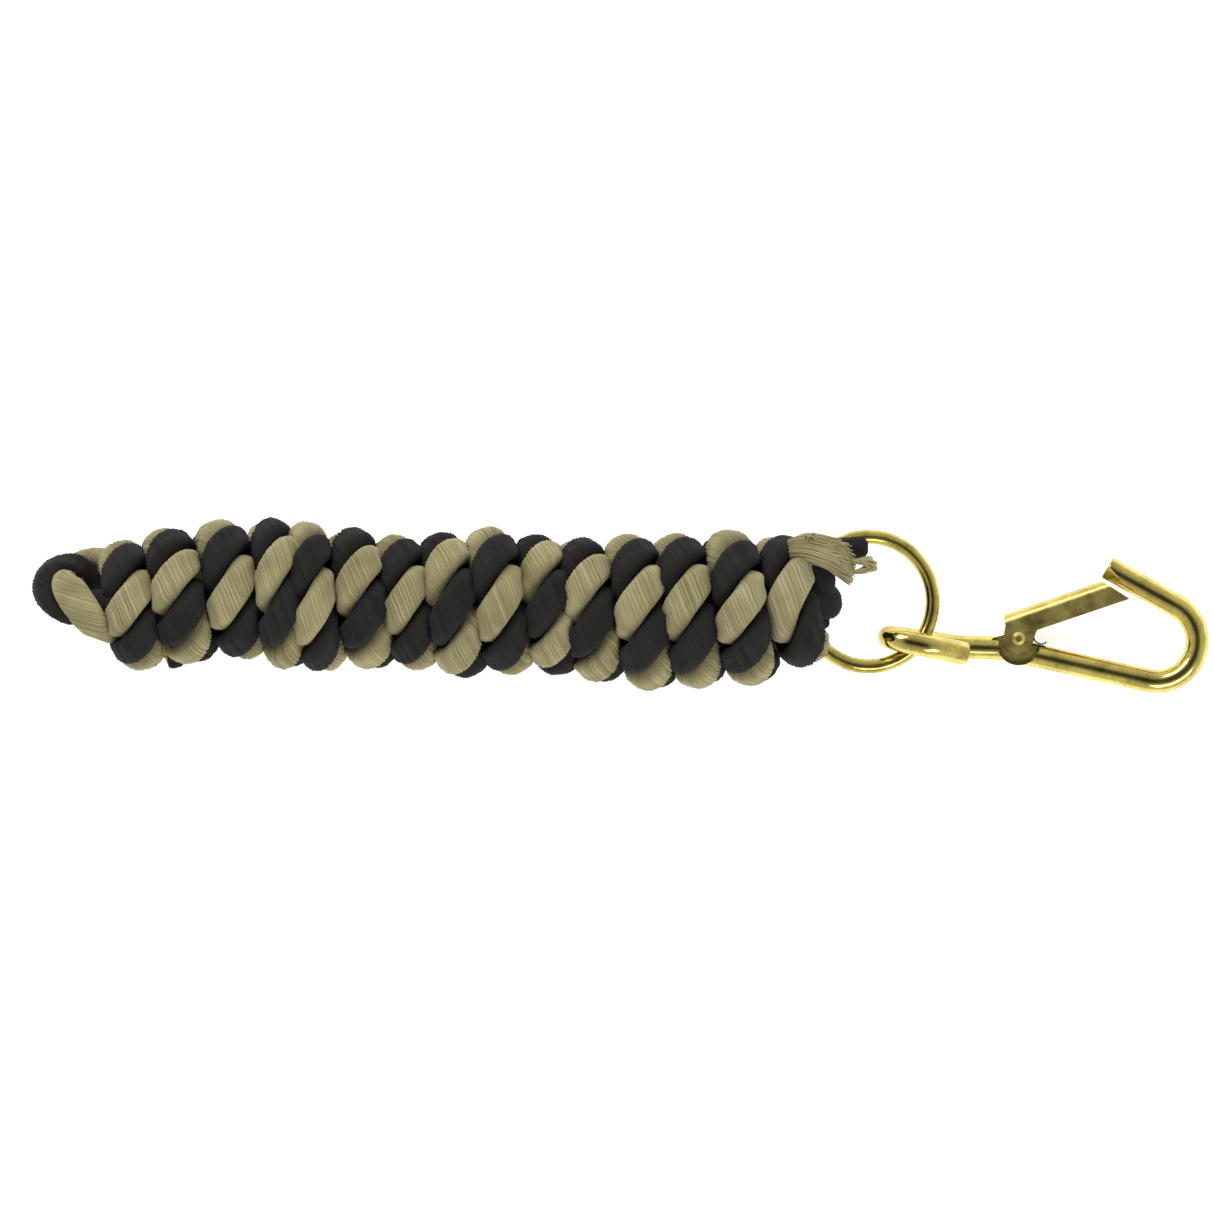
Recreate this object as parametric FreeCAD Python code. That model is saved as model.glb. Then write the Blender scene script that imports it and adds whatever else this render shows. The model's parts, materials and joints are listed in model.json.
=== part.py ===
import FreeCAD, Part
import math
import os

# Lead rope: a two-strand cotton rope wound into a hank, a ring held in the rope's eye,
# and a snap hook whose bar eye goes round the ring.
# Millimetres, +Z up, X along the hank, Z = 0 the surface that the lead lies on.
# The origin is the middle of the whole lead's footprint.

V = FreeCAD.Vector
UP = V(0, 0, 1)

# ---- Rope -------------------------------------------------------------------------------
ROPE_D = 16.0
STRAND_D = 10.4            # one strand on its own, in the eye round the ring
CREAM_TAIL_D = 11.0
NAVY_TAIL_D = 8.0

# ---- Hank: a bight of rope with the rest wound round it -----------------------------------
HANK_Y = -1.4              # the hank's axis runs along X at this Y and Z
HANK_Z = 25.7
HANK_LEFT = -176.0
HANK_RIGHT = 59.8
END_ROUND = 7.0            # rounding of the first and last turn
BODY_ROUND = 60.0          # rounding where the hank's outline changes direction between them
SIZES = [(-176.0, 22.4), (-150.0, 26.0), (10.0, 26.0), (34.0, 27.4), (59.8, 27.0)]   # X, radius

# ---- Bight: the fold of rope that stands out of the hank's left end ------------------------
BIGHT_ROUTE = [
    V(-176.0, -13.9, 41.8),
    V(-188.8, -8.4, 41.8),
    V(-198.2, -3.9, 32.4),
    V(-198.2, 0.1, 19.1),
    V(-188.8, 3.6, 9.7),
    V(-176.0, 4.4, 9.7),
]

# ---- Ring ---------------------------------------------------------------------------------
RING_WIRE_R = 2.5
RING_R = 22.7              # to the middle of the wire
RING_HOLD = V(63.8, 3.15, 17.0)    # middle of the wire where the rope's eye holds it
RING_DROP = 6.5            # degrees that the ring leans down from there to the hook

# ---- Rope's eye and the two cut strand tails beside it --------------------------------------
EYE_R = 8.6                # middle of the strand round the middle of the ring's wire
CREAM_TAIL_ROUTE = [V(59.8, 21.6, 35.6), V(70.5, 19.6, 37.0), V(82.5, 14.4, 34.6)]
NAVY_TAIL_ROUTE = [V(59.8, 17.2, 25.6), V(69.0, 20.2, 27.2), V(78.6, 20.9, 26.8)]

# ---- Snap hook. Its own frame: u along the shank, v across, w up, zero on the rivet's axis ---
RIVET_AT = V(139.5, -7.9, 5.2)
HOOK_TURN = 2.09           # degrees about +Z from the part's X to u
BAR_R = 4.1
ARM_ANGLE = -12.4          # lower arm's direction
NOSE_ANGLE = 151.0         # upper arm's direction, from the round end to the nose
END_CENTRE = V(48.7, -0.9, 0)
END_R = 14.2               # middle of the bar in the round end
NOSE_END = V(31.2, 25.0, 0)
SHANK_BEND = V(-5.9, -3.35, 0)
EYE_TOP = 14.9             # middle of the eye's upper bar over the middle of the lower one
EYE_BEND_R = 7.35
EYE_CUT_END = V(-18.9, -5.3, 7.9)
EYE_ENTRY_R = 9.0          # bends of the bar on the way into the eye and along the shank
EYE_EXIT_R = 30.0
SHANK_BEND_R = 40.0
BAR_END_FILLET = 0.7
NOSE_FACET_SLOPE = 48.0    # degrees that the nose's two ground faces lean from the gate's plane
NOSE_FACET_RUN_OUT = 12.0  # degrees at which they run out along the bar
NOSE_FACET_DEPTH = 2.6
NOSE_CUTTER = (24.0, 10.0, 16.0)

LUG_R = 4.3
LUG_HALF = 3.1
POCKET_AT = V(0, -1.8, 0)  # flattened round beside the lug, where the gate's ears turn
POCKET_R = 7.0
SHOULDER_WALL = 0.6        # bar left round the pocket
SHOULDER_BELOW_BAR = 0.15
# Outline of the web that joins the lug to the bar.
WEB = [(-10.5, -2.0), (-9.0, 0.2), (-4.0, 1.6), (0, LUG_R), (3.8, -0.5), (4.6, -3.4)]

# ---- Gate: a folded channel; its own frame is turned by GATE_ANGLE about the rivet -------------
GATE_ANGLE = 19.0
SHEET = 1.0
GATE_HALF = 4.25           # half its outer width
GATE_TOP = 9.5
GATE_FOLD_R = 3.4
EAR_R = 5.3
# The channel's side from the ear's far end, round by the tip and the top, to the ear's near end.
GATE_SIDE = [(5.01, -1.73), (7.1, 0.7), (41.4, 0.5), (34.2, GATE_TOP), (-2.0, GATE_TOP),
             (-2.7, 5.7), (-5.01, 1.73)]
EAR_LOWEST = -109.06       # degrees round the rivet to the middle of the ear's round end

RIVET_R = 1.5
RIVET_HEAD_R = 2.3
RIVET_HEAD_H = 0.75
RUNNING_GAP = 0.05

# ---- Leaf spring ------------------------------------------------------------------------------
LEAF_T = 0.5
LEAF_W = 3.2
LEAF_ROUTE = [V(9.9, -1.1, 0), V(8.9, -2.0, 0), V(5.8, -1.3, 0), V(5.3, 1.6, 0), V(7.6, 10.9, 0),
              V(9.5, 11.85, 0)]
LEAF_RADII = [0.5, 1.2, 2.5, 1.0]

CUT = 10.0                 # how far a cutting tool stands out of what it cuts


def tangent_length(before, corner, after, radius):
    turn = (corner - before).getAngle(after - corner)
    return radius * math.tan(turn / 2)


def widest_radius(before, corner, after):
    """Arc radius at a corner of a free rope: 0.45 of the shorter run over tan(half the turn)."""
    turn = (corner - before).getAngle(after - corner)
    shorter = min((corner - before).Length, (after - corner).Length)
    return 0.45 * shorter / math.tan(turn / 2)


def rounded_path(points, radii):
    """Straight runs joined by tangent arcs. radii has one value for each inner point."""
    edges = []
    start = points[0]
    for before, corner, after, radius in zip(points, points[1:], points[2:], radii):
        back = (before - corner).normalize()
        on = (after - corner).normalize()
        reach = tangent_length(before, corner, after, radius)
        first = corner + back * reach
        last = corner + on * reach
        bisector = (back + on).normalize()
        half_turn = (corner - before).getAngle(after - corner) / 2
        middle = corner + bisector * (radius / math.cos(half_turn) - radius)
        edges.append(Part.LineSegment(start, first).toShape())
        edges.append(Part.Arc(first, middle, last).toShape())
        start = last
    edges.append(Part.LineSegment(start, points[-1]).toShape())
    return Part.Wire(edges)


def bar_along(path, radius):
    start = path.Edges[0].valueAt(path.Edges[0].FirstParameter)
    heading = path.Edges[0].tangentAt(path.Edges[0].FirstParameter)
    section = Part.Wire([Part.makeCircle(radius, start, heading)])
    return path.makePipeShell([section], True, False)


def rope_tube(name, points, diameter):
    """A plain tube along a free route, checked against its section times its length."""
    radii = [widest_radius(*three) for three in zip(points, points[1:], points[2:])]
    path = rounded_path(points, radii)
    tube = bar_along(path, diameter / 2)
    expected = math.pi * diameter ** 2 / 4 * path.Length
    print(name, "bend radii", [round(r, 1) for r in radii], "length", round(path.Length, 1))
    print(name, "volume over section times length", round(tube.Volume / expected, 4))
    return tube


def plate(outline, low, high):
    """A flat plate between two heights. outline lists (u, v) corners."""
    corners = [V(u, v, low) for u, v in outline]
    return Part.Face(Part.makePolygon(corners + corners[:1])).extrude(V(0, 0, high - low))


def disc(radius, low, high, at=V(0, 0, 0)):
    return Part.makeCylinder(radius, high - low, at + V(0, 0, low))


def place_on_hook(shape):
    shape.rotate(V(0, 0, 0), UP, HOOK_TURN)
    shape.translate(RIVET_AT)
    return shape


def make_hank_winding():
    """Outer shape of the wound turns: round, flattened a little where it lies."""
    outline = [V(HANK_LEFT, HANK_Y, HANK_Z)]
    outline += [V(x, HANK_Y, HANK_Z + r) for x, r in SIZES]
    outline += [V(HANK_RIGHT, HANK_Y, HANK_Z)]
    radii = [END_ROUND] + [BODY_ROUND] * (len(SIZES) - 2) + [END_ROUND]
    edges = rounded_path(outline, radii).Edges
    edges.append(Part.LineSegment(outline[-1], outline[0]).toShape())
    half = Part.Face(Part.Wire(edges))
    winding = half.revolve(V(0, HANK_Y, HANK_Z), V(1, 0, 0), 360)
    length = HANK_RIGHT - HANK_LEFT + 2 * CUT
    ground = Part.makeBox(length, 4 * HANK_Z, CUT, V(HANK_LEFT - CUT, HANK_Y - 2 * HANK_Z, -CUT))
    return winding.cut(ground)


def make_ring_eye_loop():
    """One strand's thickness round the ring's wire, between the two ends in the hank."""
    arc_share = 0.9            # of each run, the rest is straight
    side = 2 * EYE_R * math.tan(math.radians(22.5)) / arc_share
    x = RING_HOLD.x + EYE_R
    back = side / math.sqrt(2)
    y = RING_HOLD.y
    low = RING_HOLD.z - side / 2
    high = RING_HOLD.z + side / 2
    route = [
        V(HANK_RIGHT, y, low - back),
        V(x - back, y, low - back),
        V(x, y, low),
        V(x, y, high),
        V(x - back, y, high + back),
        V(HANK_RIGHT, y, high + back),
    ]
    return rope_tube("ring_eye_loop", route, STRAND_D)


def lay_ring_down(shape):
    shape.rotate(RING_HOLD, V(0, 1, 0), RING_DROP)
    return shape


def make_ring():
    return lay_ring_down(Part.makeTorus(RING_R, RING_WIRE_R, RING_HOLD + V(RING_R, 0, 0), UP))


def end_corner(first_angle, last_angle):
    """Corner of two tangents to the hook's round end, which it touches at these angles."""
    middle = math.radians((first_angle + last_angle) / 2)
    half = math.radians((last_angle - first_angle) / 2)
    reach = END_R / math.cos(half)
    return END_CENTRE + V(math.cos(middle), math.sin(middle), 0) * reach


def hook_path():
    first = ARM_ANGLE - 90
    last = NOSE_ANGLE - 90
    middle = (first + last) / 2
    points = [
        EYE_CUT_END,
        V(-31.5, -2.7, EYE_TOP),
        V(-45.5, 0.3, EYE_TOP),
        V(-45.5, 0.7, 0),
        V(-20.8, -3.0, 0),
        SHANK_BEND,
        end_corner(first, middle),
        end_corner(middle, last),
        NOSE_END,
    ]
    radii = [EYE_ENTRY_R, EYE_BEND_R, EYE_BEND_R, EYE_EXIT_R, SHANK_BEND_R, END_R, END_R]
    return rounded_path(points, radii)


def nose_facet(side):
    """Material ground off the nose's inner face, on its upper (1) or lower (-1) side."""
    length, height, width = NOSE_CUTTER
    block = Part.makeBox(length, height, width, V(-2, NOSE_FACET_DEPTH, -width / 2))
    block.rotate(V(0, 0, 0), UP, NOSE_FACET_RUN_OUT)
    block.rotate(V(0, 0, 0), V(1, 0, 0), side * NOSE_FACET_SLOPE)
    block.rotate(V(0, 0, 0), V(1, 0, 0), 180)
    block.rotate(V(0, 0, 0), UP, NOSE_ANGLE - 180)
    block.translate(NOSE_END)
    return block


def make_hook_body():
    bar = bar_along(hook_path(), BAR_R)
    ends = [e for e in bar.Edges if e.Length < 2.02 * math.pi * BAR_R and is_end_circle(e)]
    bar = bar.makeFillet(BAR_END_FILLET, ends)
    lug = disc(LUG_R, -LUG_HALF, LUG_HALF)
    web = plate(WEB, -LUG_HALF, LUG_HALF)
    half = BAR_R - SHOULDER_BELOW_BAR
    shoulder_r = POCKET_R + SHOULDER_WALL
    shoulder = disc(shoulder_r, -half, half, POCKET_AT)
    under_pivot = Part.makeBox(2 * CUT, CUT, CUT, V(-CUT, -2.5 - CUT, -CUT / 2))
    shoulder = shoulder.common(under_pivot)
    body = bar.fuse([lug, web, shoulder])
    for low in (LUG_HALF, -LUG_HALF - CUT):
        body = body.cut(disc(POCKET_R, low, low + CUT, POCKET_AT))
    body = body.cut(disc(RIVET_R, -CUT, CUT))
    for side in (1, -1):
        body = body.cut(nose_facet(side))
    return place_on_hook(body.removeSplitter())


def is_end_circle(edge):
    """True for the circles that bound the bar's first and last section."""
    centre = edge.BoundBox.Center
    return (centre - EYE_CUT_END).Length < 0.1 or (centre - NOSE_END).Length < 0.1


def gate_outline():
    """The channel's side with its ear, as an edge loop in the gate's frame."""
    points = [V(u, v, -GATE_HALF) for u, v in GATE_SIDE]
    edges = [Part.LineSegment(a, b).toShape() for a, b in zip(points, points[1:])]
    middle = math.radians(EAR_LOWEST)
    lowest = V(EAR_R * math.cos(middle), EAR_R * math.sin(middle), -GATE_HALF)
    edges.append(Part.Arc(points[-1], lowest, points[0]).toShape())
    return Part.Wire(edges)


def make_gate():
    block = Part.Face(gate_outline()).extrude(V(0, 0, 2 * GATE_HALF))
    folds = [e for e in block.Edges if abs(e.BoundBox.YMin - GATE_TOP) < 1e-6 and e.Length > 30]
    block = block.makeFillet(GATE_FOLD_R, folds)
    inner = GATE_HALF - SHEET
    room = Part.makeBox(70, 30, 2 * inner, V(-15, GATE_TOP - SHEET - 30, -inner))
    corners = [e for e in room.Edges if abs(e.BoundBox.YMin - GATE_TOP + SHEET) < 1e-6
               and e.Length > 60]
    room = room.makeFillet(GATE_FOLD_R - SHEET, corners)
    gate = block.cut(room).cut(disc(RIVET_R + RUNNING_GAP, -CUT, CUT))
    gate.rotate(V(0, 0, 0), UP, GATE_ANGLE)
    return place_on_hook(gate)


def make_gate_rivet():
    """Pin with two domed heads that turn against the gate's ears."""
    face = GATE_HALF + RUNNING_GAP
    top = face + RIVET_HEAD_H
    half = [V(0, 0, -top), V(RIVET_HEAD_R * 0.5, 0, -top), V(RIVET_HEAD_R, 0, -face),
            V(RIVET_R, 0, -face), V(RIVET_R, 0, face), V(RIVET_HEAD_R, 0, face),
            V(RIVET_HEAD_R * 0.5, 0, top), V(0, 0, top)]
    profile = Part.Face(Part.makePolygon(half + half[:1]))
    return place_on_hook(profile.revolve(V(0, 0, 0), UP, 360))


def make_gate_spring():
    """Leaf spring: it lies on the lower arm, turns up beside the lug and presses the gate."""
    path = rounded_path(LEAF_ROUTE, LEAF_RADII)
    band = path.makeOffset2D(LEAF_T / 2, openResult=False, join=0)
    leaf = Part.Face(band).extrude(V(0, 0, LEAF_W))
    leaf.translate(V(0, 0, -LEAF_W / 2))
    return place_on_hook(leaf)


def export_solid(name, shape):
    if shape.ShapeType != "Solid":
        shape = shape.Solids[0]
    box = shape.BoundBox
    print(name, "valid", shape.isValid(), "closed", shape.isClosed(), "volume", round(shape.Volume, 1),
          "x", round(box.XMin, 2), round(box.XMax, 2), "y", round(box.YMin, 2), round(box.YMax, 2),
          "z", round(box.ZMin, 2), round(box.ZMax, 2))
    shape.exportStep("parts/" + name + ".step")


os.makedirs("parts", exist_ok=True)
export_solid("hank_winding", make_hank_winding())
export_solid("bight_loop", rope_tube("bight_loop", BIGHT_ROUTE, ROPE_D))
export_solid("ring_eye_loop", make_ring_eye_loop())
export_solid("cream_tail", rope_tube("cream_tail", CREAM_TAIL_ROUTE, CREAM_TAIL_D))
export_solid("navy_tail", rope_tube("navy_tail", NAVY_TAIL_ROUTE, NAVY_TAIL_D))
export_solid("ring", make_ring())
export_solid("hook_body", make_hook_body())
export_solid("gate", make_gate())
export_solid("gate_rivet", make_gate_rivet())
export_solid("gate_spring", make_gate_spring())
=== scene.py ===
import json
import math

import bpy
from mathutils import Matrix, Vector
import numpy as np


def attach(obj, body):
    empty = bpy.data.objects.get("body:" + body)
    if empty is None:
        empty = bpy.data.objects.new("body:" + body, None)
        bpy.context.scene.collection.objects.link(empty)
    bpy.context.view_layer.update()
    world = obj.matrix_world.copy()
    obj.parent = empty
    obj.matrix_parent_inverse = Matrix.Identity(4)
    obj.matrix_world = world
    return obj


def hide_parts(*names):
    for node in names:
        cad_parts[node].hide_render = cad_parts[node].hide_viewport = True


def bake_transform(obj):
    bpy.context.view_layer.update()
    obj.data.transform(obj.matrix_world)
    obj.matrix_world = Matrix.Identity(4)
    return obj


# Lead rope: a two-strand cotton rope wound into a hank, a brass ring in its eye, and a brass snap hook.
# Metres, +Z up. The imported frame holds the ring, the hook, the gate and its rivet; the rope's strands,
# its yarns and the leaf spring are made here.

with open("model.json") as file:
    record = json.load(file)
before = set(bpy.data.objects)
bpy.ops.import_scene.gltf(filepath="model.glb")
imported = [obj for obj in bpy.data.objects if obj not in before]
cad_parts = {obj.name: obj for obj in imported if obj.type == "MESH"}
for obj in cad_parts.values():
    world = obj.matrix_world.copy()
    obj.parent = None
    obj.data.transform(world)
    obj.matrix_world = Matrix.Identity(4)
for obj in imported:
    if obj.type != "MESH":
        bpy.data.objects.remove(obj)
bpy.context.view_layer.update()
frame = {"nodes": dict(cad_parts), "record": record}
joint_at = {joint["name"]: tuple(joint["pos_m"]) for joint in frame["record"]["behaviour"]["joints"]}

MM = 0.001
FULL_TURN = 2 * math.pi
UP = (0.0, 0.0, 1.0)
DOWN = (0.0, 0.0, -1.0)


# ---- Camera -----------------------------------------------------------------------------------
VIEW_TURN = math.radians(2.09)     # the lead lies turned a little in the view
VIEW_MIDDLE = (-0.0052, -0.0021)
VIEW_WIDTH = 0.4249
VIEW_HEIGHT = 0.020                # height over the floor at which the view is that wide
CAMERA_LENS = 400.0
CAMERA_SENSOR = 36.0


def make_camera():
    data = bpy.data.cameras.new("camera")
    data.lens = CAMERA_LENS
    data.sensor_width = CAMERA_SENSOR
    data.clip_end = 50.0
    camera = bpy.data.objects.new("camera", data)
    bpy.context.scene.collection.objects.link(camera)
    distance = VIEW_WIDTH * CAMERA_LENS / CAMERA_SENSOR
    camera.location = (*VIEW_MIDDLE, VIEW_HEIGHT + distance)
    camera.rotation_euler = (0.0, 0.0, VIEW_TURN)
    bpy.context.scene.camera = camera


# ---- The rope's route ---------------------------------------------------------------------------
ROPE_D = 0.016
ROPE_R = ROPE_D / 2
HANK_Y = -0.0014
HANK_Z = 0.0257
LINE_STEPS = 12                    # points that the curve gives for each of its stretches
RING_SPACING = 0.001               # between the places where the rope's frame is worked out
TURN_OVERLAP = 1.06                # turns are this much wider than their room, so they press together
TURN_WIDTHS = (0.95, 1.12)         # least and most width of a turn, as a share of the rope's
END_ROOMS = (17.0, 16.6)           # room that the first and the last turn have on their free sides, mm
WIDTH_BLUR = 21                    # places along the rope that a turn's width is averaged over
FREE_LAY = 0.030                   # length of one lay of the strands where the rope isn't wound

# Under the hank's turns, from the ring's eye to the left end. The turns squeeze what they are wound
# round to this share of its free thickness.
SQUEEZED = 0.66
CORE_TO_BIGHT = [
    (0.0550, 0.0036, 0.0205), (0.0400, 0.0022, 0.0195), (0.0140, -0.0010, 0.0205),
    (-0.0160, -0.0026, 0.0198), (-0.0460, 0.0004, 0.0206), (-0.0760, -0.0018, 0.0198),
    (-0.1060, 0.0006, 0.0204), (-0.1340, -0.0015, 0.0200), (-0.1560, 0.0010, 0.0190),
]
# The fold that stands out of the hank's left end, back leg first.
BIGHT = [
    (-0.1670, 0.0034, 0.0150), (-0.1760, 0.0044, 0.0120), (-0.1888, 0.0036, 0.0097),
    (-0.1982, 0.0001, 0.0191), (-0.1982, -0.0039, 0.0324), (-0.1888, -0.0084, 0.0400),
    (-0.1760, -0.0139, 0.0350), (-0.1640, -0.0120, 0.0300),
]
BIGHT_TO_TURNS = [
    (-0.1480, -0.0040, 0.0310), (-0.1200, -0.0015, 0.0306), (-0.0900, 0.0008, 0.0314),
    (-0.0600, -0.0014, 0.0308), (-0.0300, 0.0006, 0.0313), (0.0000, -0.0012, 0.0307),
    (0.0260, 0.0012, 0.0310), (0.0440, 0.0045, 0.0300), (0.0560, 0.0090, 0.0265),
]

# The turns, in the order they are wound, from the ring's end to the left. Millimetres. For each:
# X where its front crosses the axis, its middle's distance off the axis, its outer radius, how high
# on its front the cream strand faces straight out, and the lays from there to the next one.
TURNS = [
    (59.0, 3.3, 22.4, 8.6, 4), (41.4, 0.5, 27.6, 0.6, 4), (23.0, -0.9, 27.0, 4.5, 4),
    (6.8, -2.0, 27.1, 3.9, 4), (-11.1, -1.5, 24.8, 10.6, 4), (-26.0, -0.8, 23.8, 17.7, 3),
    (-42.9, 0.2, 25.7, -1.75, 4), (-59.0, -1.9, 25.5, 17.2, 3), (-75.3, -1.5, 22.9, -0.1, 4),
    (-90.7, -1.3, 24.4, 9.8, 3), (-107.9, -1.1, 25.9, -6.9, 4), (-119.9, 0.0, 25.9, 11.5, 3),
    (-136.4, 0.9, 24.0, -1.3, 4), (-154.8, -2.2, 24.6, 6.4, 4), (-171.4, -6.5, 22.4, -5.0, 0),
]
TURN_FRONTS = [90.0 + 360.0 * k for k in range(len(TURNS))]     # winding angle of each turn's front
TURN_POINTS = 16                   # route points in one turn
FIRST_ANGLE = -150.0               # degrees round the axis: 0 at the hank's near side, 90 on its front
LAST_ANGLE = 180.0 + 360.0 * (len(TURNS) - 1)
# The first turn bends out of the core instead of coming from a turn before it.
LEAD_IN = [(-240.0, 60.5), (-90.0, 63.4), (0.0, 63.6)]
LEAD_OUT = [(LAST_ANGLE + 60.0, -176.5)]

# The rope's end, tucked under the last turns.
TAIL = [(-0.1745, 0.0075, 0.0175), (-0.1725, 0.0010, 0.0120), (-0.1680, -0.0090, 0.0125),
        (-0.1610, -0.0180, 0.0170), (-0.1545, -0.0235, 0.0185)]
TAIL_THICKNESS = 0.72

BIGHT_TOP = (-0.1880, -0.0081, 0.0390)     # where the cream strand is uppermost on the fold
# The strands' lay round the fold: metres along the rope from there, and lays turned from there.
FOLD_LAYS = [(-0.058, -1.40), (-0.042, -1.0), (0.0, 0.0), (0.030, 0.9)]
CORE_LAYS = -1.25      # the same at the first of those places, for the even lay of the rope before it
NAVY_OUT_ANGLE = 20.0                      # where the navy strand faces out on the first turn


def smooth_through(knots, values, at):
    """Monotone cubic curve through the values at the knots, level past both ends."""
    knots, values = np.asarray(knots, float), np.asarray(values, float)
    step = np.diff(knots)
    slope = np.diff(values) / step
    tangent = np.concatenate([slope[:1], np.zeros(len(slope) - 1), slope[-1:]])
    before, after = slope[:-1], slope[1:]
    same = before * after > 0
    tangent[1:-1][same] = 2 * before[same] * after[same] / (before[same] + after[same])
    at = np.clip(at, knots[0], knots[-1])
    i = np.clip(np.searchsorted(knots, at, side="right") - 1, 0, len(step) - 1)
    h = step[i]
    t = (at - knots[i]) / h
    keep, move = 1 - t * t * (3 - 2 * t), t * t * (3 - 2 * t)
    return (values[i] * keep + values[i + 1] * move
            + h * tangent[i] * t * (1 - t) ** 2 - h * tangent[i + 1] * t * t * (1 - t))


def turn_places(angles):
    """X, the Y of the turn's middle, and the rope's own line's radius, at each winding angle."""
    x_knots = [a for a, _ in LEAD_IN] + TURN_FRONTS + [a for a, _ in LEAD_OUT]
    x_values = [x for _, x in LEAD_IN] + [t[0] for t in TURNS] + [x for _, x in LEAD_OUT]
    x = smooth_through(x_knots, x_values, angles) * MM
    middle = HANK_Y + smooth_through(TURN_FRONTS, [t[1] for t in TURNS], angles) * MM
    radius = smooth_through(TURN_FRONTS, [t[2] for t in TURNS], angles) * MM - ROPE_R
    return x, middle, radius


def winding_points():
    """Route points of the turns, and their winding angles."""
    step = 360.0 / TURN_POINTS
    angles = np.arange(FIRST_ANGLE, LAST_ANGLE + step / 2, step)
    x, middle, radius = turn_places(angles)
    # A curve of this order runs inside its points by about this share.
    radius = radius / (0.75 + 0.25 * math.cos(math.radians(step)))
    y = middle - radius * np.cos(np.radians(angles))
    z = np.maximum(HANK_Z + radius * np.sin(np.radians(angles)), ROPE_R)
    return [tuple(p) for p in np.stack([x, y, z], axis=1)], angles


def nurbs_line(name, points):
    """Points along the smooth curve through a route, and each one's place in the route's list."""
    curve = bpy.data.curves.new(name, "CURVE")
    curve.dimensions = "3D"
    curve.resolution_u = LINE_STEPS
    spline = curve.splines.new("NURBS")
    spline.points.add(len(points) - 1)
    for control, place in zip(spline.points, points):
        control.co = (*place, 1.0)
    spline.order_u = 3
    spline.use_endpoint_u = True
    bare = bpy.data.objects.new(name, curve)
    mesh = bpy.data.meshes.new_from_object(bare)
    line = np.array([v.co for v in mesh.vertices], float)
    bpy.data.objects.remove(bare)
    bpy.data.curves.remove(curve)
    bpy.data.meshes.remove(mesh)
    # The curve has one stretch fewer than the route has, so away from its ends each is half a place on.
    place = np.linspace(0, len(points) - 1, len(line))
    inner = np.linspace(0, len(points) - 2, len(line)) + 0.5
    place[LINE_STEPS:-LINE_STEPS] = inner[LINE_STEPS:-LINE_STEPS]
    return line, place


def normalised(v):
    return v / np.maximum(np.linalg.norm(v, axis=-1, keepdims=True), 1e-12)


def carried_frame(line, first_normal):
    """Tangents, and normals that are carried along the line without twisting about it."""
    tangent = normalised(np.gradient(line, axis=0))
    normal = np.empty_like(line)
    normal[0] = first_normal
    for i in range(len(line)):
        last = normal[i - 1] if i else normal[0]
        n = last - tangent[i] * (last @ tangent[i])
        normal[i] = n / np.linalg.norm(n)
    return tangent, normal


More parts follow.
